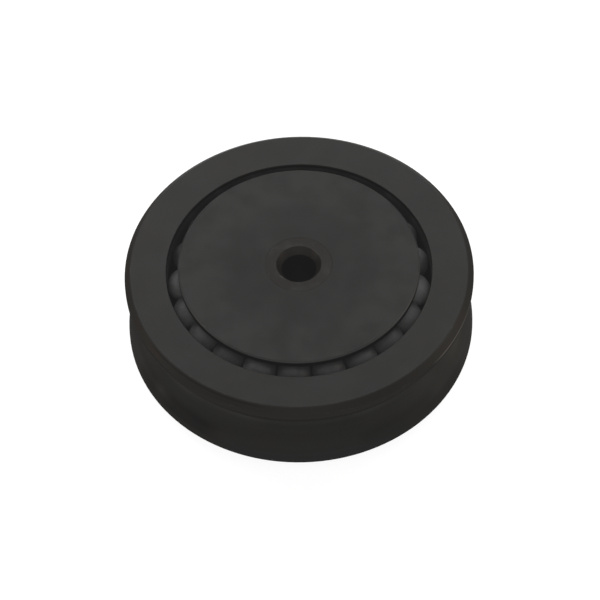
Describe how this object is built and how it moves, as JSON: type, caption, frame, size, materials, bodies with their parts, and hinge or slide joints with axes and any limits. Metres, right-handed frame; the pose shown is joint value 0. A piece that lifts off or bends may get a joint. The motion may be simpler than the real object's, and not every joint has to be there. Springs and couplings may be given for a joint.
{
  "type": "wire rope sheave",
  "caption": "Steel sheave with a rope groove round its rim, turning on two rows of loose balls about a hub with a countersunk bore.",
  "frame": {"origin": "middle of the axle bore, halfway between the two hub faces, on the rope groove's middle plane", "axes": "+Z along the axle bore, out of the upper hub face; +X and +Y across the sheave, which is round"},
  "size_m": [0.065, 0.065, 0.02],
  "materials": {
    "ring_steel": "satin black oxide",
    "hub_steel": "satin black oxide",
    "bush_steel": "satin black oxide, faintly brown round the bore",
    "ball_steel": "polished, darkened by oil"
  },
  "bodies": {
    "hub": {"upper_hub_half": "hub_steel", "lower_hub_half": "hub_steel", "hub_bush": "bush_steel"},
    "ring": {"sheave_ring": "ring_steel"},
    "upper_balls": {"upper_ball_01": "ball_steel", "upper_ball_02": "ball_steel", "upper_ball_03": "ball_steel", "upper_ball_04": "ball_steel", "upper_ball_05": "ball_steel", "upper_ball_06": "ball_steel", "upper_ball_07": "ball_steel", "upper_ball_08": "ball_steel", "upper_ball_09": "ball_steel", "upper_ball_10": "ball_steel", "upper_ball_11": "ball_steel", "upper_ball_12": "ball_steel", "upper_ball_13": "ball_steel", "upper_ball_14": "ball_steel", "upper_ball_15": "ball_steel", "upper_ball_16": "ball_steel", "upper_ball_17": "ball_steel", "upper_ball_18": "ball_steel", "upper_ball_19": "ball_steel", "upper_ball_20": "ball_steel", "upper_ball_21": "ball_steel"},
    "lower_balls": {"lower_ball_01": "ball_steel", "lower_ball_02": "ball_steel", "lower_ball_03": "ball_steel", "lower_ball_04": "ball_steel", "lower_ball_05": "ball_steel", "lower_ball_06": "ball_steel", "lower_ball_07": "ball_steel", "lower_ball_08": "ball_steel", "lower_ball_09": "ball_steel", "lower_ball_10": "ball_steel", "lower_ball_11": "ball_steel", "lower_ball_12": "ball_steel", "lower_ball_13": "ball_steel", "lower_ball_14": "ball_steel", "lower_ball_15": "ball_steel", "lower_ball_16": "ball_steel", "lower_ball_17": "ball_steel", "lower_ball_18": "ball_steel", "lower_ball_19": "ball_steel", "lower_ball_20": "ball_steel", "lower_ball_21": "ball_steel"}
  },
  "joints": [
    {"name": "sheave_spin", "type": "hinge", "parent": "hub", "child": "ring", "pos_m": [0, 0, 0], "axis": [0, 0, 1], "continuous": true},
    {"name": "upper_row_orbit", "type": "hinge", "parent": "hub", "child": "upper_balls", "pos_m": [0, 0, 0], "axis": [0, 0, 1], "continuous": true},
    {"name": "lower_row_orbit", "type": "hinge", "parent": "hub", "child": "lower_balls", "pos_m": [0, 0, 0], "axis": [0, 0, 1], "continuous": true}
  ],
  "couplings": [
    {"joint": "upper_row_orbit", "follows": "sheave_spin", "ratio": 0.552},
    {"joint": "lower_row_orbit", "follows": "sheave_spin", "ratio": 0.552}
  ]
}
